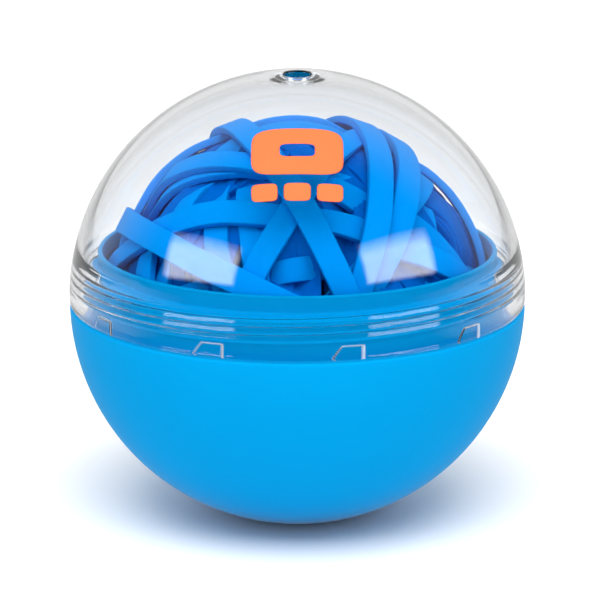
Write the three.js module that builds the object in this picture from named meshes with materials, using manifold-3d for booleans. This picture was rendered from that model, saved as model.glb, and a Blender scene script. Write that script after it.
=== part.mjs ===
// A rubber band ball in its storage capsule: a screw-on clear dome over a coloured bowl, and inside it a ball
// wound from wide flat bands. Millimetres, +Z up, front towards -Y, origin in the middle of the foot that the
// capsule stands on.
import * as THREE from "three";
import { ParametricGeometry } from "three/addons/geometries/ParametricGeometry.js";
import { mergeVertices } from "three/addons/utils/BufferGeometryUtils.js";
import Module from "manifold-3d";

// The capsule. Heights called "above the middle" count from the middle of the sphere.
const CAPSULE_R = 35; // outside of the dome
const MIDDLE_Z = 34; // middle of the sphere above the desk, which leaves a small flat foot
const FACETS = 48; // sides of every turned piece
const ARC_STEPS = 9; // steps of a turned arc

// The clear dome
const DOME_INSIDE_R = 33.7;
const COLLAR_BORE_R = 32.7; // straight bore that carries the thread
const COLLAR_FOOT = -0.5; // lower edge of the collar above the middle
const VENT_R = 2.15; // hole at the top
const VENT_BOSS_R = 3.3; // short spout round the hole, inside
const VENT_BOSS_END = 33; // how far down the spout reaches, above the middle

// The lugs that stop the dome on the bowl
const LUGS = 10;
const LUG_FIRST_DEG = 13; // bearing of the first one
const LUG_WIDE_DEG = 8.2;
const LUG_INNER_R = 32.25;
const LUG_ROOT_R = 32.9; // a little way into the wall
const LUG_BOTTOM = -0.3;
const LUG_TALL = 1.8;
const LUG_STEPS = 4;

// The bowl
const BOWL_R = 34.9;
const BOWL_INSIDE_R = 33.6;
const BOWL_SHOULDER = -0.8; // ledge under the collar
const BOWL_FLOOR = -33; // flat floor inside
const NECK_R = 31.9;
const NECK_BORE_R = 30.7;
const NECK_STEP = 4.9; // where the neck steps in
const NECK_STEP_END = 5.3;
const RIM_R = 30.4;
const RIM_BORE_R = 29.65;
const RIM_TOP = 8.1;

// The wound ball
const BALL_MIDDLE = -1.8; // above the middle of the capsule
const BALL_R = 30.4; // outside of the bands that went on last
const CORE_R = 9.6; // the inner turns, as one solid
const CORE_SIDES = 24;
const BAND_WIDE = 4;
const BAND_THICK = 1;
const GAP = 0.22; // air between one band and the next
const DEEPER = 0.04; // how much lower each band lies than the one wound after it
const STATIONS = 44; // sections along one band
const ALONG = 6; // contact points between two sections
const ACROSS = 5; // contact points across the band
const ROUNDS = 80; // rounds of easing one band into its place
const SETTLES = 30; // rounds that only press it clear
const SMOOTHING = 0.2; // share of the way that a section moves towards its neighbours' level
const RISE = 0.06; // share of the way that it moves towards the outside of the ball
const STIFFNESS = 0.06; // how strongly a band keeps flat across
const WANDER_DEG = 1.4; // how far a band strays from a true circle
const FIRST_BANDS = 9; // wound before the ones that show on top
const CROWDING = 4; // how strongly the first bands keep away from crowded places
const CANDIDATES = 300; // planes that each of the first bands is chosen from

// The bands that show, in the order they went on. Each lies in a plane: these are the bearing and height, in
// degrees, of the plane's normal.
const LAST_BANDS = [
  [63, 55], [-84, -14], [76, 9], [-80, 10], [-164, 63], [83, 16], [72, 20], [41, 6], [45, 31], [-48, 30],
  [12, 24], [11, -3], [-94, 42], [164, 25], [156, 27], [3, 12], [171, 47], [-115, 20], [-78, 31],
  [-76, 19], [110, 16], [120, 60],
];

const BAND_BLUE = 0x0b86e8;
const CORE_BLUE = 0x083c9a;
const BOWL_BLUE = 0x12a8f0;
const CLEAR = 0xe9eef2;

const wasm = await Module();
wasm.setup();

// A closed geometry as a solid that can be joined.
function solidOf(geometry) {
  const bare = geometry.clone();
  bare.deleteAttribute("normal");
  bare.deleteAttribute("uv");
  const merged = mergeVertices(bare);
  const vertProperties = merged.attributes.position.array;
  const triVerts = new Uint32Array(merged.index.array);
  return new wasm.Manifold(new wasm.Mesh({ numProp: 3, vertProperties, triVerts }));
}

function geometryOf(solid) {
  const mesh = solid.getMesh();
  return new THREE.BufferGeometry()
    .setAttribute("position", new THREE.BufferAttribute(mesh.vertProperties, 3))
    .setIndex(new THREE.BufferAttribute(mesh.triVerts, 1));
}

function piece(name, geometry, color, roughness) {
  const mesh = new THREE.Mesh(geometry, new THREE.MeshStandardMaterial({ color, roughness, metalness: 0 }));
  mesh.name = name;
  return mesh;
}

// A profile of [radius, height] pairs turned about the upright axis.
function turned(profile) {
  const points = profile.map(([r, z]) => new THREE.Vector2(r, z));
  return new THREE.LatheGeometry(points, FACETS).rotateX(Math.PI / 2);
}

// Points on a sphere about the middle of the capsule, from one height to another.
function arc(radius, from, to) {
  const start = Math.asin(from / radius);
  const end = Math.asin(to / radius);
  return Array.from({ length: ARC_STEPS + 1 }, (_, i) => {
    const a = start + ((end - start) * i) / ARC_STEPS;
    return [radius * Math.cos(a), radius * Math.sin(a)];
  });
}

const heightAtRadius = (sphere, r) => Math.sqrt(sphere * sphere - r * r);

// The bowl: a moulding with a flat foot, a straight bore that the ball drops into and a stepped neck.
function bowl() {
  return turned([
    [0, -MIDDLE_Z],
    ...arc(BOWL_R, -MIDDLE_Z, BOWL_SHOULDER),
    [NECK_R, BOWL_SHOULDER],
    [NECK_R, NECK_STEP],
    [RIM_R, NECK_STEP_END],
    [RIM_R, RIM_TOP],
    [RIM_BORE_R, RIM_TOP],
    [RIM_BORE_R, NECK_STEP_END],
    [NECK_BORE_R, NECK_STEP],
    ...arc(BOWL_INSIDE_R, -heightAtRadius(BOWL_INSIDE_R, NECK_BORE_R), BOWL_FLOOR),
    [0, BOWL_FLOOR],
  ]);
}

// One stop lug: a short bar along the bore of the collar.
function lug(bearing) {
  const half = THREE.MathUtils.degToRad(LUG_WIDE_DEG / 2);
  const middle = THREE.MathUtils.degToRad(bearing) - Math.PI / 2;
  const outline = new THREE.Shape();
  outline.absarc(0, 0, LUG_ROOT_R, middle - half, middle + half, false);
  outline.absarc(0, 0, LUG_INNER_R, middle + half, middle - half, true);
  outline.closePath();
  const upright = { depth: LUG_TALL, bevelEnabled: false, curveSegments: LUG_STEPS };
  const bar = new THREE.ExtrudeGeometry(outline, upright);
  return bar.translate(0, 0, LUG_BOTTOM);
}

// The dome: a thin clear shell with a thicker collar, its stop lugs and the vent spout at the top.
function dome() {
  const shell = turned([
    [COLLAR_BORE_R, COLLAR_FOOT],
    ...arc(CAPSULE_R, COLLAR_FOOT, heightAtRadius(CAPSULE_R, VENT_R)),
    [VENT_R, VENT_BOSS_END],
    [VENT_BOSS_R, VENT_BOSS_END],
    ...arc(
      DOME_INSIDE_R,
      heightAtRadius(DOME_INSIDE_R, VENT_BOSS_R),
      heightAtRadius(DOME_INSIDE_R, COLLAR_BORE_R),
    ),
    [COLLAR_BORE_R, COLLAR_FOOT],
  ]);
  let solid = solidOf(shell);
  for (let i = 0; i < LUGS; i++) solid = solid.add(solidOf(lug(LUG_FIRST_DEG + (i * 360) / LUGS)));
  return geometryOf(solid);
}

// A unit vector at a bearing (0 to the front, growing to the right) and a height above the level, in degrees.
function towards(bearing, height) {
  const b = THREE.MathUtils.degToRad(bearing);
  const h = THREE.MathUtils.degToRad(height);
  return new THREE.Vector3(Math.sin(b) * Math.cos(h), -Math.cos(b) * Math.cos(h), Math.sin(h));
}

// A map of the ball's surface, a cell to a degree: how far out it reaches in each direction.
const LONGITUDES = 360;
const LATITUDES = 180;

function cellOf(direction) {
  const upward = Math.asin(THREE.MathUtils.clamp(direction.z, -1, 1)) / Math.PI + 0.5;
  const sideways = Math.atan2(direction.y, direction.x) / Math.PI / 2 + 1;
  const row = Math.floor(upward * LATITUDES);
  const column = Math.floor(sideways * LONGITUDES) % LONGITUDES;
  return [Math.min(row, LATITUDES - 1), column];
}

const cellIndex = (row, column) => row * LONGITUDES + ((column + LONGITUDES) % LONGITUDES);

function readMap(map, direction) {
  return map[cellIndex(...cellOf(direction))];
}

// Applies a change to every cell within a degree of a direction.
function stamp(map, direction, change) {
  const [row, column] = cellOf(direction);
  const reach = Math.min(LONGITUDES / 2, Math.ceil(1 / Math.max(0.01, Math.hypot(direction.x, direction.y))));
  for (let r = Math.max(0, row - 1); r <= Math.min(LATITUDES - 1, row + 1); r++)
    for (let c = column - reach; c <= column + reach; c++) {
      const i = cellIndex(r, c);
      map[i] = change(map[i]);
    }
}

// The path of a band: a slightly wandering circle about a normal. side runs from -1 to 1 across the band.
function pathAbout(normal, phase) {
  const across = new THREE.Vector3(0, 0, 1).cross(normal).normalize();
  const along = normal.clone().cross(across);
  const half = BAND_WIDE / 2 / BALL_R;
  const wander = THREE.MathUtils.degToRad(WANDER_DEG);
  return (turn, side) => {
    const a = turn * Math.PI * 2;
    const b = wander * Math.sin(2 * a + phase) + side * half;
    return across
      .clone()
      .multiplyScalar(Math.cos(a) * Math.cos(b))
      .addScaledVector(along, Math.sin(a) * Math.cos(b))
      .addScaledVector(normal, Math.sin(b));
  };
}

// Radius of a band's outer face from its two edges: k is the section, f the way to the next one and s the way
// across, both from 0 to 1.
function faceRadius(band, k, f, s) {
  const next = (k + 1) % STATIONS;
  const left = band.left[k] * (1 - f) + band.left[next] * f;
  const right = band.right[k] * (1 - f) + band.right[next] * f;
  return left * (1 - s) + right * s;
}

// Every contact point on a band's outer face, with the radius that it has to stay under.
function contactsOn(path, map) {
  const contacts = [];
  for (let k = 0; k < STATIONS; k++)
    for (let i = 0; i < ALONG; i++)
      for (let j = 0; j < ACROSS; j++) {
        const f = i / ALONG;
        const s = j / (ACROSS - 1);
        contacts.push({ k, f, s, radius: readMap(map, path((k + f) / STATIONS, 2 * s - 1)) - GAP });
      }
  return contacts;
}

// Moves each section of an edge towards the level of its neighbours, and a little towards the outside.
function ease(edge, outside) {
  for (let k = 0; k < STATIONS; k++) {
    const level = (edge[(k + STATIONS - 1) % STATIONS] + edge[(k + 1) % STATIONS]) / 2;
    edge[k] += SMOOTHING * (level - edge[k]) + RISE * (outside - edge[k]);
  }
}

function flatten(band) {
  for (let k = 0; k < STATIONS; k++) {
    const tilt = STIFFNESS * (band.right[k] - band.left[k]);
    band.left[k] += tilt;
    band.right[k] -= tilt;
  }
}

// Presses down the four corners round each contact point that reaches into a later band.
function pressClear(band, contacts) {
  for (const { k, f, s, radius } of contacts) {
    const excess = faceRadius(band, k, f, s) - radius;
    if (excess <= 0) continue;
    const next = (k + 1) % STATIONS;
    const squares = ((1 - f) ** 2 + f ** 2) * ((1 - s) ** 2 + s ** 2);
    band.left[k] -= (excess * (1 - f) * (1 - s)) / squares;
    band.left[next] -= (excess * f * (1 - s)) / squares;
    band.right[k] -= (excess * (1 - f) * s) / squares;
    band.right[next] -= (excess * f * s) / squares;
  }
}

// Marks on the map what a band takes up: its inner face, with the sag of the straight runs between sections.
function takeUp(band, map) {
  const step = (Math.PI * 2) / STATIONS;
  const rows = ALONG * 2;
  const columns = ACROSS * 2;
  for (let k = 0; k < STATIONS; k++)
    for (let i = 0; i < rows; i++)
      for (let j = 0; j <= columns; j++) {
        const f = i / rows;
        const s = j / columns;
        const inner = faceRadius(band, k, f, s) - BAND_THICK;
        const lowest = inner * (1 - (f * (1 - f) * step * step) / 2);
        stamp(map, band.path((k + f) / STATIONS, 2 * s - 1), (r) => Math.min(r, lowest));
      }
}

// Lays one band under the ones wound after it, as far out as they let it, and adds it to the map.
function lay(normal, order, map) {
  const path = pathAbout(normal, order);
  const contacts = contactsOn(path, map);
  const outside = BALL_R - DEEPER * order;
  const edge = () => new Array(STATIONS).fill(outside);
  const band = { left: edge(), right: edge(), path };
  for (let round = 0; round < ROUNDS + SETTLES; round++) {
    if (round < ROUNDS) {
      ease(band.left, outside);
      ease(band.right, outside);
      flatten(band);
    }
    pressClear(band, contacts);
  }
  takeUp(band, map);
  return band;
}

// A band as a closed loop of four-cornered sections.
function bandGeometry(band) {
  const corners = [[-1, -BAND_THICK], [1, -BAND_THICK], [1, 0], [-1, 0]];
  return new ParametricGeometry(
    (u, v, target) => {
      const [side, out] = corners[Math.round(u * corners.length) % corners.length];
      const k = Math.round(v * STATIONS) % STATIONS;
      const edge = side < 0 ? band.left : band.right;
      target.copy(band.path(k / STATIONS, side)).multiplyScalar(edge[k] + out);
    },
    corners.length,
    STATIONS,
  );
}

// Normals for the first bands: each one goes where the fewest bands lie so far, counting the last ones too.
function firstNormals() {
  const load = new Float32Array(LONGITUDES * LATITUDES);
  const across = [-1, 0, 1];
  const stations = Array.from({ length: STATIONS * 2 }, (_, k) => k / STATIONS / 2);
  const add = (normal) => {
    const path = pathAbout(normal, 0);
    for (const turn of stations) for (const side of across) stamp(load, path(turn, side), (n) => n + 1);
  };
  const weight = (normal) => {
    const path = pathAbout(normal, 0);
    let sum = 0;
    for (const turn of stations) {
      for (const side of across) sum += readMap(load, path(turn, side)) ** CROWDING;
    }
    return sum;
  };
  LAST_BANDS.forEach(([bearing, height]) => add(towards(bearing, height)));
  const golden = 180 * (3 - Math.sqrt(5));
  const choices = Array.from({ length: CANDIDATES }, (_, i) =>
    towards(i * golden, THREE.MathUtils.radToDeg(Math.asin((i + 0.5) / CANDIDATES))),
  );
  const chosen = [];
  for (let n = 0; n < FIRST_BANDS; n++) {
    const best = choices.reduce((a, b) => (weight(b) < weight(a) ? b : a));
    add(best);
    chosen.push(best);
  }
  return chosen;
}

// The ball is laid from the outside in: the last band keeps to the ball's outer sphere.
function woundBall() {
  const ball = new THREE.Group();
  ball.position.z = BALL_MIDDLE;
  const core = new THREE.SphereGeometry(CORE_R, CORE_SIDES, CORE_SIDES / 2).rotateX(Math.PI / 2);
  ball.add(piece("inner_bands", core, CORE_BLUE, 0.6));
  const map = new Float32Array(LONGITUDES * LATITUDES).fill(BALL_R + GAP);
  const normals = [...firstNormals(), ...LAST_BANDS.map(([bearing, height]) => towards(bearing, height))];
  for (let i = normals.length - 1; i >= 0; i--) {
    const band = lay(normals[i], normals.length - 1 - i, map);
    ball.add(piece("band_" + String(i + 1).padStart(2, "0"), bandGeometry(band), BAND_BLUE, 0.55));
  }
  return ball;
}

const rubberBandBall = new THREE.Group();
rubberBandBall.position.z = MIDDLE_Z;
rubberBandBall.add(piece("bowl", bowl(), BOWL_BLUE, 0.4));
rubberBandBall.add(piece("clear_dome", dome(), CLEAR, 0.05));
rubberBandBall.add(woundBall());

export default rubberBandBall;
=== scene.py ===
"""A rubber band ball in its storage capsule: a satin bowl, a ball wound from wide flat bands that drops into
it, and a clear dome that screws on over both. Metres, +Z up, front towards -Y, standing on the bowl's foot."""
import math

import bmesh
import bpy
import numpy as np
from mathutils import Matrix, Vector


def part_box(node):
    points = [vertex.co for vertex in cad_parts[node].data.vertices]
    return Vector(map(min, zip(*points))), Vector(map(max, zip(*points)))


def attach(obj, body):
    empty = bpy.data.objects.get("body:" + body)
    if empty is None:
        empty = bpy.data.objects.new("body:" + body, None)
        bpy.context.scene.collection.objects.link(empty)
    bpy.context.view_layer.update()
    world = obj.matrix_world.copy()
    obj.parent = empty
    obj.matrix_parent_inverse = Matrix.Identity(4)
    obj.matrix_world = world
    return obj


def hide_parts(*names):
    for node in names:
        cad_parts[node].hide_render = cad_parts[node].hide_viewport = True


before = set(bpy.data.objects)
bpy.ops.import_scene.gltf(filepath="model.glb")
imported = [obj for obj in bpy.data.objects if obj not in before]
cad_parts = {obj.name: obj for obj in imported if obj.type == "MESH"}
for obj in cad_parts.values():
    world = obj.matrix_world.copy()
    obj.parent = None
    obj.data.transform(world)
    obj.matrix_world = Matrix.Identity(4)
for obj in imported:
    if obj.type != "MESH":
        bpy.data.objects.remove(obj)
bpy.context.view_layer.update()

# ---------------------------------------------------------------------------------------------------------
# The bowl: the lower half of the capsule, one satin blue moulding with a flat foot, a ledge that the dome's
# collar meets and a stepped neck that carries three shallow thread ridges. The ball drops into its bore.
MM = 0.001
MIDDLE = 34.0 * MM  # middle of the capsule's sphere above the desk
BOWL = 34.9 * MM  # radii: outside of the bowl, its neck, the neck's bore, the rim and the rim's bore
NECK = 31.9 * MM
NECK_BORE = 30.7 * MM
RIM = 30.4 * MM
RIM_BORE = 29.65 * MM
NECK_STEP = 4.9 * MM  # heights above the middle: the neck steps in, the step ends, the rim ends
NECK_STEP_END = 5.3 * MM
RIM_TOP = 8.1 * MM
BOWL_SECTIONS = 350


def arc(radius, start, end, steps):
    """Points on a circle about the middle of the capsule, evenly spaced between two heights above it."""
    a = np.linspace(math.asin(start / radius), math.asin(end / radius), steps)
    return np.stack([radius * np.cos(a), radius * np.sin(a)], axis=1)


def line(start, end, steps):
    """Points on a straight run, the last one left out."""
    t = np.linspace(0, 1, steps, endpoint=False)[:, None]
    return np.asarray(start) * (1 - t) + np.asarray(end) * t


def eased(profile, rounds, closed=True):
    """A profile with its corners rounded: each round moves every point halfway to the middle of its two
    neighbours. Straight runs and wide arcs stay where they are, and so do the ends of an open profile."""
    for _ in range(rounds):
        moved = profile * 0.5 + (np.roll(profile, 1, axis=0) + np.roll(profile, -1, axis=0)) * 0.25
        if not closed:
            moved[[0, -1]] = profile[[0, -1]]
        profile = moved
    return profile


def mesh_of(name, grid, closed_rows=True):
    """A mesh from a grid of points, rows by columns: every cell is a face, and columns always close into a
    ring. Rows close too if they are said to. Points that fall together are merged, and faces end up outwards:
    the summed volume of the cones from the origin to each face has to be positive."""
    rows, columns = grid.shape[:2]
    i, j = np.meshgrid(np.arange(rows if closed_rows else rows - 1), np.arange(columns), indexing="ij")
    i2, j2 = (i + 1) % rows, (j + 1) % columns
    faces = np.stack([i * columns + j, i * columns + j2, i2 * columns + j2, i2 * columns + j], axis=-1)
    faces = faces.reshape(-1, 4)
    points = grid.reshape(-1, 3)
    a, b, c, d = (points[faces[:, k]] for k in range(4))
    volume = np.einsum("ij,ij->i", a, np.cross(b, c)).sum() + np.einsum("ij,ij->i", a, np.cross(c, d)).sum()
    if volume < 0:
        faces = faces[:, ::-1]
    mesh = bpy.data.meshes.new(name)
    mesh.from_pydata(points.tolist(), [], faces.tolist())
    work = bmesh.new()
    work.from_mesh(mesh)
    bmesh.ops.remove_doubles(work, verts=work.verts, dist=1e-8)
    work.to_mesh(mesh)
    work.free()
    mesh.shade_smooth()
    made = bpy.data.objects.new(name, mesh)
    bpy.context.scene.collection.objects.link(made)
    return made


def turned(name, profile, bearing, lift, closed_rows):
    """A profile of (radius, height above the middle) rows turned about the upright axis, a section at each
    bearing. lift is the radius added at each row and bearing."""
    radius = profile[:, :1] + lift
    height = profile[:, 1:] + MIDDLE + 0 * lift
    return mesh_of(name, np.stack([radius * np.sin(bearing), -radius * np.cos(bearing), height], axis=-1),
                   closed_rows)


def thread(height, bearing, low, high, phase):
    """A thread with three starts, from 0 to 1: the share of a pitch that a point lies above its helix, turned
    into a ridge with a long lower flank and a short upper one, and faded out at both ends of the length."""
    pitch = 1.2 * MM
    share = ((height - low) / pitch - bearing * 3 / (2 * math.pi) + phase) % 1.0
    ridge = np.clip(np.minimum((share - 0.05) / 0.6, (0.85 - share) / 0.2), 0, 1)
    ends = np.clip((height - low) / (0.4 * MM), 0, 1) * np.clip((high - height) / (0.4 * MM), 0, 1)
    return ridge * ends


class Wire:
    """One socket of a material's nodes. Sums, differences, products, quotients and powers of wires and
    numbers add Math nodes."""

    def __init__(self, finish, socket):
        self.finish, self.socket = finish, socket

    def __add__(self, other): return self.finish.maths("ADD", self, other)
    def __radd__(self, other): return self.finish.maths("ADD", other, self)
    def __sub__(self, other): return self.finish.maths("SUBTRACT", self, other)
    def __rsub__(self, other): return self.finish.maths("SUBTRACT", other, self)
    def __mul__(self, other): return self.finish.maths("MULTIPLY", self, other)
    def __rmul__(self, other): return self.finish.maths("MULTIPLY", other, self)
    def __truediv__(self, other): return self.finish.maths("DIVIDE", self, other)
    def __pow__(self, other): return self.finish.maths("POWER", self, other)


class Finish:
    """A material with one Principled shader. Sockets given by name are set on it."""

    def __init__(self, name, **sockets):
        self.material = bpy.data.materials.new(name)
        self.material.use_nodes = True
        self.tree = self.material.node_tree
        self.shader = self.tree.nodes["Principled BSDF"]
        self.output = self.tree.nodes["Material Output"]
        self.set(self.shader, {key.replace("_", " "): value for key, value in sockets.items()})
        self.place = self.node("ShaderNodeTexCoord", output="Object")

    def set(self, node, sockets):
        for key, value in sockets.items():
            if isinstance(value, Wire):
                self.tree.links.new(value.socket, node.inputs[key])
            elif value is not None:
                node.inputs[key].default_value = value

    def node(self, kind, settings=None, sockets=None, output=0):
        """Adds a node: its settings first, with a ramp's stops among them, then its sockets."""
        made = self.tree.nodes.new(kind)
        for key, value in (settings or {}).items():
            if key == "stops":
                ramp = made.color_ramp.elements
                while len(ramp) < len(value):
                    ramp.new(0.5)
                for stop, (at, colour) in zip(ramp, value):
                    stop.position, stop.color = at, (*colour, 1)
            else:
                setattr(made, key, value)
        self.set(made, sockets or {})
        return Wire(self, made.outputs[output])

    def maths(self, operation, *values):
        return self.node("ShaderNodeMath", {"operation": operation}, dict(enumerate(values)))

    def noise(self, scale, detail=3.0, roughness=0.5):
        """Cloudy noise over the piece, about 0 to 1."""
        return self.node("ShaderNodeTexNoise", {}, {"Vector": self.place, "Scale": scale, "Detail": detail,
                                                    "Roughness": roughness})

    def blend(self, factor, first, second):
        """A colour between two others."""
        made = self.tree.nodes.new("ShaderNodeMix")
        made.data_type = "RGBA"
        for index, value in ((0, factor), (6, first), (7, second)):
            if isinstance(value, Wire):
                self.tree.links.new(value.socket, made.inputs[index])
            else:
                made.inputs[index].default_value = value if index == 0 else (*value, 1)
        return Wire(self, made.outputs[2])

    def bump(self, height, distance, strength=1.0):
        """Relief of a real depth, in metres, that feeds the shader's normal."""
        normal = self.node("ShaderNodeBump", {}, {"Height": height, "Distance": distance, "Strength": strength},
                           output="Normal")
        self.set(self.shader, {"Normal": normal})

    def on(self, piece):
        piece.data.materials.append(self.material)


bowl_profile = eased(np.concatenate([
    line((0, -34.0 * MM), (8.1 * MM, -34.0 * MM), 14),
    arc(BOWL, -33.96 * MM, -0.95 * MM, 74),
    line((34.88 * MM, -0.8 * MM), (NECK, -0.8 * MM), 16),
    line((NECK, -0.8 * MM), (NECK, NECK_STEP), 40),
    line((NECK, NECK_STEP), (RIM, NECK_STEP_END), 10),
    line((RIM, NECK_STEP_END), (RIM, RIM_TOP), 16),
    line((RIM, RIM_TOP), (RIM_BORE, RIM_TOP), 6),
    line((RIM_BORE, RIM_TOP), (RIM_BORE, NECK_STEP_END), 14),
    line((RIM_BORE, NECK_STEP_END), (NECK_BORE, NECK_STEP), 6),
    line((NECK_BORE, NECK_STEP), (NECK_BORE, -13.6 * MM), 30),
    arc(33.6 * MM, -13.66 * MM, -33.0 * MM, 40),
    line((6.3 * MM, -33.0 * MM), (-0.6 * MM, -33.0 * MM), 11)[:-1],
    [(0, -33.0 * MM)],
]), 2, closed=False)
bowl_bearing = np.arange(BOWL_SECTIONS) * (2 * math.pi / BOWL_SECTIONS)
# three shallow turns of thread stand 0.15 mm out of the neck
neck = (np.abs(bowl_profile[:, :1] - NECK) < 0.05 * MM) & (bowl_profile[:, 1:] > 0)
neck_thread = neck * 0.15 * MM * thread(bowl_profile[:, 1:], bowl_bearing, 1.0 * MM, 4.6 * MM, 0.1)
bowl = turned("bowl_moulding", bowl_profile, bowl_bearing, neck_thread, closed_rows=False)
bowl_finish = Finish("bowl_plastic", IOR=1.49, Specular_IOR_Level=0.01)
mottle = bowl_finish.noise(90.0)
bowl_finish.set(bowl_finish.shader, {
    "Base Color": bowl_finish.blend(mottle, (0.000, 0.262, 0.585), (0.000, 0.278, 0.605)),
    "Roughness": 0.36 + 0.06 * bowl_finish.noise(700.0),
})
bowl_finish.bump(bowl_finish.noise(2600.0, 2.0), 0.000012)
bowl_finish.on(bowl)
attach(bowl, "base")
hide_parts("bowl")

# ---------------------------------------------------------------------------------------------------------
# The bands: closed loops of flat azure rubber, 4 mm wide and a little over 1 mm thick, wound over one another.
# Each is redrawn finely on its own frame solid, with rounded edges, so that it keeps the path it was wound on.
BALL = np.array(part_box("inner_bands")).mean(axis=0)  # middle of the ball
SECTIONS = 44  # sections of a frame solid
FINER = 7  # fine sections to one of those
TOP = 30.4 * MM  # radius of the ball
PRESSED = 0.88  # how deep the turns lie below it, against the frame's: stretched rubber gives where it crosses
THICK = 1.2 * MM
FIRST_BANDS = 9  # wound before the ones that show on top
ceiling = np.full((180, 360), 27.7 * MM)  # how far out the inner turns may reach, a cell to a degree
covered = np.zeros((180, 360), bool)  # where a band lies already


def around(values, finer):
    """Values round a loop, with finer of them to each one given: a Catmull-Rom cubic between neighbours."""
    t = np.arange(finer)[None, :] / finer
    a, b, c, d = (np.roll(values, k)[:, None] for k in (1, 0, -1, -2))
    return (0.5 * (2 * b + (c - a) * t + (2 * a - 5 * b + 4 * c - d) * t**2
                   + (3 * b - a - 3 * c + d) * t**3)).reshape(-1)


def section_outline():
    """A rounded flat section: across runs from -1 to 1, and out from -1 to 1. Corners are quarter turns."""
    corner = np.linspace(0, math.pi / 2, 4)
    wide, thick = 0.1, 0.36
    across, out = [], []
    for turn in range(4):
        a = corner + turn * math.pi / 2
        sign_x, sign_y = (1, -1, -1, 1)[turn], (1, 1, -1, -1)[turn]
        across.append(sign_x * (1 - wide) + wide * np.cos(a))
        out.append(sign_y * (1 - thick) + thick * np.sin(a))
    return np.concatenate(across), np.concatenate(out)


def frame_sections(node):
    """Reads a band's frame solid: its plane, and for each section the latitude of both edges above that
    plane and the inner and outer radius of each edge."""
    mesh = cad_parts[node].data
    raw = np.empty(len(mesh.vertices) * 3, np.float32)
    mesh.vertices.foreach_get("co", raw)
    corners = np.unique(np.round(raw.reshape(-1, 3).astype(float), 7), axis=0) - BALL
    radius = np.linalg.norm(corners, axis=1)
    towards = corners / radius[:, None]
    normal = np.linalg.svd(towards, full_matrices=False)[2][2]
    first = np.cross(normal, [0.3, 0.5, 0.8])
    first /= np.linalg.norm(first)
    second = np.cross(normal, first)
    turn = np.arctan2(towards @ second, towards @ first)
    order = np.argsort(turn)
    gaps = np.diff(np.append(turn[order], turn[order[0]] + 2 * math.pi))
    order = np.roll(order, -(int(np.argmax(gaps)) + 1)).reshape(SECTIONS, 4)
    latitude = np.arcsin(np.clip(towards @ normal, -1, 1))
    order = np.take_along_axis(order, np.argsort(latitude[order], axis=1), axis=1)
    edges = []
    for pair in (order[:, :2], order[:, 2:]):
        pair = np.take_along_axis(pair, np.argsort(radius[pair], axis=1), axis=1)
        edges.append((latitude[pair].mean(axis=1), radius[pair[:, 0]], radius[pair[:, 1]]))
    start = np.exp(1j * turn[order]).mean(axis=1)
    return (first, second, normal), np.unwrap(np.angle(start)), edges


def band_surface(axes, turn, latitude, radius):
    """Points at a turn about the band's axis, a latitude above its plane and a radius from the middle."""
    first, second, normal = axes
    flat = np.cos(latitude)
    return BALL + radius[..., None] * (
        (flat * np.cos(turn))[..., None] * first + (flat * np.sin(turn))[..., None] * second
        + np.sin(latitude)[..., None] * normal)


def cells(points):
    """Row and column of the map of directions for each point."""
    towards = (points - BALL) / np.linalg.norm(points - BALL, axis=-1, keepdims=True)
    row = np.floor((np.arcsin(np.clip(towards[..., 2], -1, 1)) / math.pi + 0.5) * 180).astype(int)
    turns = np.arctan2(towards[..., 1], towards[..., 0]) / (2 * math.pi) + 1
    column = np.floor(turns * 360).astype(int) % 360
    return np.clip(row, 0, 179), column


rubber = Finish("band_rubber", IOR=1.45, Specular_IOR_Level=0.005)
dye = rubber.noise(60.0, 2.0)
rubber.set(rubber.shader, {
    "Base Color": rubber.blend(dye, (0.000, 0.235, 0.70), (0.000, 0.265, 0.76)),
    "Roughness": 0.40 + 0.14 * rubber.noise(420.0),
})
rubber.bump(rubber.noise(1500.0, 3.0), 0.00003)

outline_across, outline_out = section_outline()
band_names = sorted(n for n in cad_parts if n.startswith("band_"))
for number, node in enumerate(band_names):
    axes, turn, (left, right) = frame_sections(node)
    chance = np.random.default_rng(100 + number)
    fine_turn = np.arange(SECTIONS * FINER) * (2 * math.pi / (SECTIONS * FINER)) + turn[0]
    latitudes = [around(edge[0], FINER) for edge in (left, right)]
    outer = [TOP - (TOP - around(edge[2], FINER)) * PRESSED for edge in (left, right)]
    # the cut edges waver by up to a tenth of a millimetre
    waver = sum(chance.uniform(-1, 1) * np.sin(k * fine_turn + chance.uniform(0, 6.3)) for k in (5, 9, 14))
    latitudes = [value + waver * 0.05 * MM / 0.030 for value in latitudes]
    side = (outline_across[None, :] + 1) / 2
    latitude = latitudes[0][:, None] * (1 - side) + latitudes[1][:, None] * side
    radius = outer[0][:, None] * (1 - side) + outer[1][:, None] * side + (outline_out[None, :] - 1) * THICK / 2
    band = mesh_of("wound_" + node, band_surface(axes, fine_turn[:, None], latitude, radius))
    rubber.on(band)
    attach(band, "base")
    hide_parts(node)
    # what the band leaves free below it, later bands last: where two cross, the outer one is the one seen
    share = np.linspace(0, 1, 7)[None, :]
    below = outer[0][:, None] * (1 - share) + outer[1][:, None] * share - THICK
    under = band_surface(axes, fine_turn[:, None], latitudes[0][:, None] * (1 - share)
                         + latitudes[1][:, None] * share, below)
    if number >= FIRST_BANDS:
        ceiling[cells(under)] = below
        covered[cells(under)] = True

# ---------------------------------------------------------------------------------------------------------
# The inner turns: the same bands, wound first, that fill the ball under the ones that can be told apart. They
# are one piece: loops that press up into every gap as far as the bands above let them.
INNER_TURNS = 40
INNER_STEPS = 150


def settled(limit, rounds):
    """The highest smooth run that stays under a limit: level with its neighbours, then cut back, in turns."""
    level = limit.copy()
    for _ in range(rounds):
        level = np.minimum(limit, (np.roll(level, 1) + level + np.roll(level, -1)) / 3)
    return level


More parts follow.
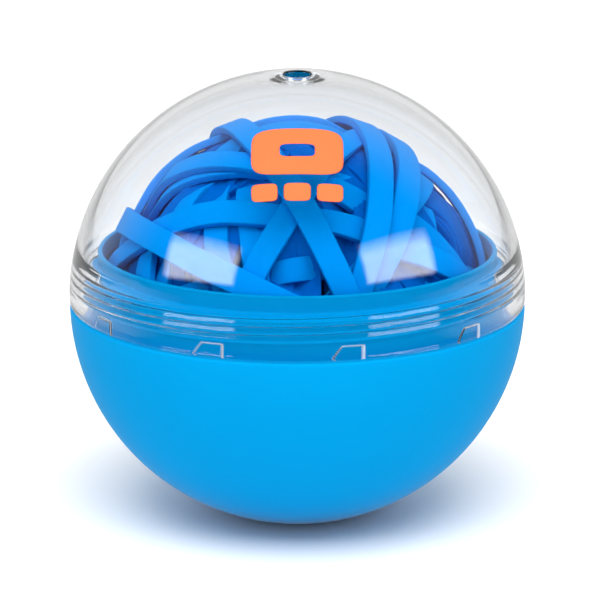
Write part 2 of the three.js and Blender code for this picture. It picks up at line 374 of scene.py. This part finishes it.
def loop_about(bearing, height):
    """The plane of a loop whose axis points to a bearing and a height: two directions in it, and the axis."""
    normal = np.array([math.sin(bearing) * math.cos(height), -math.cos(bearing) * math.cos(height),
                       math.sin(height)])
    first = np.cross(normal, [0.3, 0.5, 0.8])
    first /= np.linalg.norm(first)
    return first, np.cross(normal, first), normal


room = ceiling + 0.5 * MM
chance = np.random.default_rng(7)
turn = np.arange(INNER_STEPS) * (2 * math.pi / INNER_STEPS)
half_wide = 2.0 / 28
share = np.linspace(-1, 1, 9)[None, :]
choices = []  # loops spread evenly over all directions, each with the cells that it would lie in
for number in range(360):
    axes = loop_about(number * math.pi * (3 - math.sqrt(5)), math.asin((number + 0.5) / 360))
    sway = 0.04 * np.sin(2 * turn + chance.uniform(0, 6.3)) + chance.uniform(-0.06, 0.06)
    at = cells(band_surface(axes, turn[:, None], sway[:, None] + half_wide * share * 1.1,
                            np.full((1, 9), 28 * MM)))
    choices.append((axes, sway, at))
inner_points, inner_faces = [], []
for number in range(INNER_TURNS):
    # each loop is the one that fills the most of what is still open
    axes, sway, at = max(choices, key=lambda choice: np.count_nonzero(~covered[choice[2]]))
    limits = room[at]
    left = settled(limits[:, :4].mean(axis=1), 6)
    right = settled(limits[:, 5:].mean(axis=1), 6)
    below = left[:, None] + (right - left)[:, None] * (share + 1) / 2 - 1.15 * MM
    room[at] = np.where(covered[at], room[at], below)
    covered[at] = True
    side = (outline_across[None, :] + 1) / 2
    top = left[:, None] * (1 - side) + right[:, None] * side
    grid = band_surface(axes, turn[:, None], sway[:, None] + half_wide * outline_across[None, :],
                        top + (outline_out[None, :] - 1) * 0.55 * MM)
    rows, columns = grid.shape[:2]
    i, j = np.meshgrid(np.arange(rows), np.arange(columns), indexing="ij")
    i2, j2 = (i + 1) % rows, (j + 1) % columns
    faces = np.stack([i * columns + j, i * columns + j2, i2 * columns + j2, i2 * columns + j], axis=-1)
    inner_faces.append(faces.reshape(-1, 4) + number * rows * columns)
    inner_points.append(grid.reshape(-1, 3))
inner_mesh = bpy.data.meshes.new("inner_turns")
inner_mesh.from_pydata(np.concatenate(inner_points).tolist(), [], np.concatenate(inner_faces).tolist())
inner_mesh.shade_smooth()
inner = bpy.data.objects.new("inner_turns", inner_mesh)
bpy.context.scene.collection.objects.link(inner)
# The inner turns get a darker copy of the band rubber: painted shade for the gaps between the bands above, not
# a darker rubber.
painted_shade_rubber = Finish("band_rubber_painted_shade", IOR=1.45, Specular_IOR_Level=0.005)
painted_shade_rubber.set(painted_shade_rubber.shader, {
    "Base Color": painted_shade_rubber.blend(painted_shade_rubber.noise(60.0, 2.0), (0.000, 0.105, 0.46), (0.000, 0.125, 0.52)),
    "Roughness": 0.45 + 0.14 * painted_shade_rubber.noise(420.0),
})
painted_shade_rubber.bump(painted_shade_rubber.noise(1500.0, 3.0), 0.00003)
painted_shade_rubber.on(inner)
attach(inner, "base")
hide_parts("inner_bands")

# ---------------------------------------------------------------------------------------------------------
# The dome: the upper half, one clear polished moulding 1.3 mm thick, with a heavier straight-bored collar that
# carries the matching thread and ten small stop lugs, and a vent hole with a short spout at the top.
DOME = 35.0 * MM  # radii: outside of the dome, the collar's bore and the vent hole
COLLAR_BORE = 32.7 * MM
VENT = 2.15 * MM
LUG_BEARING = 13.0  # of the first lug, in degrees
LUG_PITCH = 36.0
dome_profile = eased(np.concatenate([
    line((COLLAR_BORE, -0.5 * MM), (34.98 * MM, -0.5 * MM), 10),
    arc(DOME, -0.42 * MM, 34.91 * MM, 46),
    line((VENT, 34.88 * MM), (VENT, 33.05 * MM), 9),
    line((VENT, 33.05 * MM), (2.8 * MM, 33.05 * MM), 3),
    line((2.8 * MM, 33.05 * MM), (3.2 * MM, 33.5 * MM), 4),
    arc(33.7 * MM, 33.54 * MM, 8.1 * MM, 28),
    line((COLLAR_BORE, 8.0 * MM), (COLLAR_BORE, 6.4 * MM), 6),
    line((COLLAR_BORE, 6.4 * MM), (COLLAR_BORE, -0.5 * MM), 66),
]), 2)
# the sections stand closer at each lug
dome_bearing = np.radians(np.sort(np.concatenate([
    (LUG_BEARING + LUG_PITCH * lug
     + np.concatenate([np.arange(-5.2, 5.2, 0.4), np.arange(5.2, 30.8, 1.0)])) % 360
    for lug in range(10)])))
bore = np.abs(dome_profile[:, :1] - COLLAR_BORE) < 0.12 * MM
dome_height = dome_profile[:, 1:]
dome_thread = thread(dome_height, dome_bearing, 2.1 * MM, 6.0 * MM, 0.0)
# a lug's top rises over its left half and falls steeply at its right end
degrees = (np.degrees(dome_bearing)[None, :] - LUG_BEARING + LUG_PITCH / 2) % LUG_PITCH - LUG_PITCH / 2
lug_top = (1.75 * np.clip((degrees + 4.3) / 2.6, 0, 1) - 0.35) * MM
lugs = np.clip((lug_top - dome_height) / (0.3 * MM), 0, 1) * np.clip((4.2 - degrees) / 0.7, 0, 1)
relief = np.where(bore, -(0.2 * MM * dome_thread + 0.4 * MM * lugs), 0.0)
dome = turned("dome_moulding", dome_profile, dome_bearing, relief, closed_rows=True)
# the flanks of the lugs get a white diffuse finish, a painted reflection of the bright edges the lugs show: 1
# on them and 0 on the rest of the dome
matt = dome.data.attributes.new("matt", "FLOAT", "POINT")
matt.data.foreach_set("value", np.where(bore, 4 * lugs * (1 - lugs), 0.0).astype(np.float32).reshape(-1))
clear = Finish("dome_plastic", Base_Color=(0.93, 0.945, 0.96, 1), Transmission_Weight=1.0, IOR=1.49)
clear.set(clear.shader, {"Roughness": 0.03 * clear.noise(140.0, 4.0)})
flank = clear.node("ShaderNodeAttribute", {"attribute_name": "matt"}, output="Fac")
# a white diffuse shader on the lug flanks: painted reflection, not a real frosting of the clear plastic
painted_reflection_white = clear.node("ShaderNodeBsdfDiffuse", {}, {"Color": (0.95, 0.97, 1.0, 1)})
clear.bump(clear.noise(70.0, 1.0) + 0.02 * clear.noise(2600.0, 1.0), 0.00002, 0.5)
lamps = clear.node("ShaderNodeLightPath", output="Is Shadow Ray")
passing = clear.node("ShaderNodeBsdfTransparent", {}, {"Color": (0.93, 0.95, 0.97, 1)})
body = clear.node("ShaderNodeMixShader", {}, {0: 0.9 * flank, 1: Wire(clear, clear.shader.outputs[0]),
                                              2: painted_reflection_white})
surface = clear.node("ShaderNodeMixShader", {}, {0: lamps, 1: body, 2: passing})
clear.set(clear.output, {"Surface": surface})
clear.on(dome)
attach(dome, "dome")
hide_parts("clear_dome")

# ---------------------------------------------------------------------------------------------------------
# The print: a plain orange block with a slot over three plain dashes, pad-printed on the front of the dome in
# one opaque colour. It is a film that follows the dome.
PRINT_HEIGHT = math.radians(49.3)  # how far up the dome its middle lies
PRINT_THICK = 0.035 * MM


def on_dome(across, up, radius):
    """A point of the flat artwork, in metres from its middle, carried onto the dome."""
    middle = np.array([0, -math.cos(PRINT_HEIGHT), math.sin(PRINT_HEIGHT)])
    upwards = np.array([0, math.sin(PRINT_HEIGHT), math.cos(PRINT_HEIGHT)])
    towards = middle * DOME + across[..., None] * np.array([1.0, 0, 0]) + up[..., None] * upwards
    towards /= np.linalg.norm(towards, axis=-1, keepdims=True)
    return towards * radius[..., None] + np.array([0, 0, MIDDLE])


def block(half_wide, half_tall, turn):
    """A rounded oblong: a circle squared off by raising its cosine and sine to a power below one."""
    def squared(value, power):
        return np.sign(value) * np.abs(value) ** power
    return half_wide * squared(np.cos(turn), 0.42), half_tall * squared(np.sin(turn), 0.42)


def film(name, outer, hole, across_by, up_by):
    """A closed thin film between a rounded oblong and the hole in it, (half width, half height) each. A hole
    of no size closes at a point. Its foot lies on the dome and its top 0.035 mm above."""
    turn = np.linspace(0, 2 * math.pi, 144, endpoint=False)
    shares = np.linspace(0, 1, 12)
    runs = [(s, DOME + PRINT_THICK) for s in shares] + [(s, DOME + 0.004 * MM) for s in shares[::-1]]
    rows = []
    for share, radius in runs:
        across, up = block(*(o * (1 - share) + h * share for o, h in zip(outer, hole)), turn)
        rows.append(on_dome(across + across_by, up + up_by, np.full_like(across, radius)))
    if hole[0]:
        return mesh_of(name, np.stack(rows))
    rows = rows[len(shares):][:-1] + rows[:len(shares)]
    return mesh_of(name, np.stack(rows), closed_rows=False)


ink = Finish("print_ink", IOR=1.5, Specular_IOR_Level=0.2)
ink.set(ink.shader, {
    "Base Color": ink.blend(ink.noise(500.0), (0.86, 0.15, 0.045), (0.90, 0.165, 0.052)),
    "Roughness": 0.45 + 0.1 * ink.noise(900.0),
})
ink.bump(ink.noise(3000.0), 0.00001)
for name, outer, hole, across_by, up_by in (
        ("print_block", (6.9 * MM, 4.4 * MM), (2.6 * MM, 1.2 * MM), 0.0, 2.2 * MM),
        ("print_dash_left", (2.0 * MM, 1.5 * MM), (0, 0), -4.9 * MM, -5.2 * MM),
        ("print_dash_middle", (2.0 * MM, 1.5 * MM), (0, 0), 0.0, -5.2 * MM),
        ("print_dash_right", (2.0 * MM, 1.5 * MM), (0, 0), 4.9 * MM, -5.2 * MM)):
    made = film(name, outer, hole, across_by, up_by)
    ink.on(made)
    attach(made, "dome")

# ---------------------------------------------------------------------------------------------------------
# The studio: a pale floor, a white room, two soft boxes low at the sides and a wide soft light overhead. The
# capsule stands on the floor. In mirrored light the floor in front of it is dark, like the room there.
scene = bpy.context.scene
scene.view_settings.view_transform = "Standard"
floor_mesh = bpy.data.meshes.new("floor")
floor_mesh.from_pydata([(-4, -4, 0), (4, -4, 0), (4, 4, 0), (-4, 4, 0)], [], [(0, 1, 2, 3)])
floor = bpy.data.objects.new("floor", floor_mesh)
scene.collection.objects.link(floor)
paper = Finish("floor_paper", Roughness=0.9, Specular_IOR_Level=0.1)
depth = paper.node("ShaderNodeSeparateXYZ", {}, {"Vector": paper.place}, output="Y")
front = paper.node("ShaderNodeMapRange", {}, {"Value": depth, "From Min": 0.0, "From Max": -0.06})
mirrored = paper.maths("MINIMUM", paper.node("ShaderNodeLightPath", output="Glossy Depth"), 1.0)
paper.set(paper.shader, {"Base Color": paper.blend(
    front * mirrored, paper.blend(paper.noise(8.0), (0.93, 0.93, 0.93), (0.95, 0.95, 0.95)), (0, 0, 0))})
paper.on(floor)
floor.visible_glossy = False

# The room is even all round, but in mirrored light it is dark in front and white behind, as beside a lit
# backdrop.
world = bpy.data.worlds.new("room")
world.use_nodes = True
nodes, links = world.node_tree.nodes, world.node_tree.links
towards = nodes.new("ShaderNodeTexCoord")
split = nodes.new("ShaderNodeSeparateXYZ")
backdrop = nodes.new("ShaderNodeMapRange")
backdrop.interpolation_type = "SMOOTHSTEP"
for key, value in (("From Min", -0.1), ("From Max", 0.75), ("To Min", 0.0), ("To Max", 0.85)):
    backdrop.inputs[key].default_value = value
rays = nodes.new("ShaderNodeLightPath")
strength = nodes.new("ShaderNodeMix")
strength.inputs[2].default_value = 0.78
links.new(towards.outputs["Generated"], split.inputs[0])
links.new(split.outputs["Y"], backdrop.inputs["Value"])
mirrored = nodes.new("ShaderNodeMath")
mirrored.operation = "MINIMUM"
mirrored.inputs[1].default_value = 1.0
links.new(rays.outputs["Glossy Depth"], mirrored.inputs[0])
links.new(mirrored.outputs[0], strength.inputs[0])
links.new(backdrop.outputs[0], strength.inputs[3])
links.new(strength.outputs[0], nodes["Background"].inputs["Strength"])
nodes["Background"].inputs["Color"].default_value = (1, 1, 1, 1)
scene.world = world


def aimed(item, bearing, height, roll, distance):
    """Turns an object to the middle of the capsule, from a bearing and a height, rolled, in degrees."""
    b, h = math.radians(bearing), math.radians(height)
    item.location = (distance * math.sin(b) * math.cos(h), -distance * math.cos(b) * math.cos(h),
                     MIDDLE + distance * math.sin(h))
    item.rotation_euler = (Matrix.Rotation(b, 3, "Z") @ Matrix.Rotation(math.pi / 2 - h, 3, "X")
                           @ Matrix.Rotation(math.radians(roll), 3, "Z")).to_euler()
    item.visible_camera = False
    scene.collection.objects.link(item)


# A soft box glows unevenly and fades towards its edges, most of all at the top. It lights nothing: it only
# shows in polished faces.
WIDE, TALL = 0.36, 0.18
glow = Finish("soft_box_glow", Base_Color=(0, 0, 0, 1), Specular_IOR_Level=0.0, Emission_Strength=7.6)
box_x = glow.node("ShaderNodeSeparateXYZ", {}, {"Vector": glow.place}, output="X")
box_y = glow.node("ShaderNodeSeparateXYZ", {}, {"Vector": glow.place}, output="Y")
sides = glow.node("ShaderNodeMapRange", {}, {"Value": glow.maths("ABSOLUTE", box_x), "From Min": WIDE / 2,
                                             "From Max": WIDE * 0.44})
foot = glow.node("ShaderNodeMapRange", {}, {"Value": box_y, "From Min": -TALL / 2, "From Max": -TALL * 0.42})
head = glow.node("ShaderNodeMapRange", {}, {"Value": box_y, "From Min": TALL / 2, "From Max": TALL * 0.15})
patchy = 0.25 + 0.95 * glow.noise(50.0, 4.0, 0.7)
glow.set(glow.shader, {"Emission Color": glow.blend(sides * foot * head * patchy, (0, 0, 0), (1, 1, 1))})
for name, bearing, height, roll in (("left_box", -54, 26, 8), ("right_box", 57.5, 26.3, -8)):
    panel_mesh = bpy.data.meshes.new(name)
    panel_mesh.from_pydata([(x * WIDE / 2, y * TALL / 2, 0) for x, y in ((-1, -1), (1, -1), (1, 1), (-1, 1))],
                           [], [(0, 1, 2, 3)])
    panel = bpy.data.objects.new(name, panel_mesh)
    glow.on(panel)
    aimed(panel, bearing, height, roll, 0.5)
    panel.visible_diffuse = False
    panel.visible_shadow = False

# The overhead light is the other way round: it lights matt surfaces and shows in no polished one.
lamp = bpy.data.lights.new("overhead", "AREA")
lamp.shape, lamp.size, lamp.size_y, lamp.energy = "RECTANGLE", 0.8, 0.6, 8.0
overhead = bpy.data.objects.new("overhead", lamp)
aimed(overhead, 0, 62, 0, 0.8)
overhead.visible_glossy = False
overhead.visible_transmission = False

eye = bpy.data.cameras.new("camera")
DISTANCE, ELEVATION = 0.6, math.radians(15.2)
eye.sensor_width = 36
eye.lens = 36 * DISTANCE / 0.0921
camera = bpy.data.objects.new("camera", eye)
side, down = 0.0004, 0.00058  # the capsule sits a little left of and above the middle of the picture
camera.location = (side, -DISTANCE * math.cos(ELEVATION) - down * math.sin(ELEVATION),
                   MIDDLE + DISTANCE * math.sin(ELEVATION) - down * math.cos(ELEVATION))
camera.rotation_euler = (math.pi / 2 - ELEVATION, 0, 0)
scene.collection.objects.link(camera)
scene.camera = camera

bpy.context.view_layer.update()
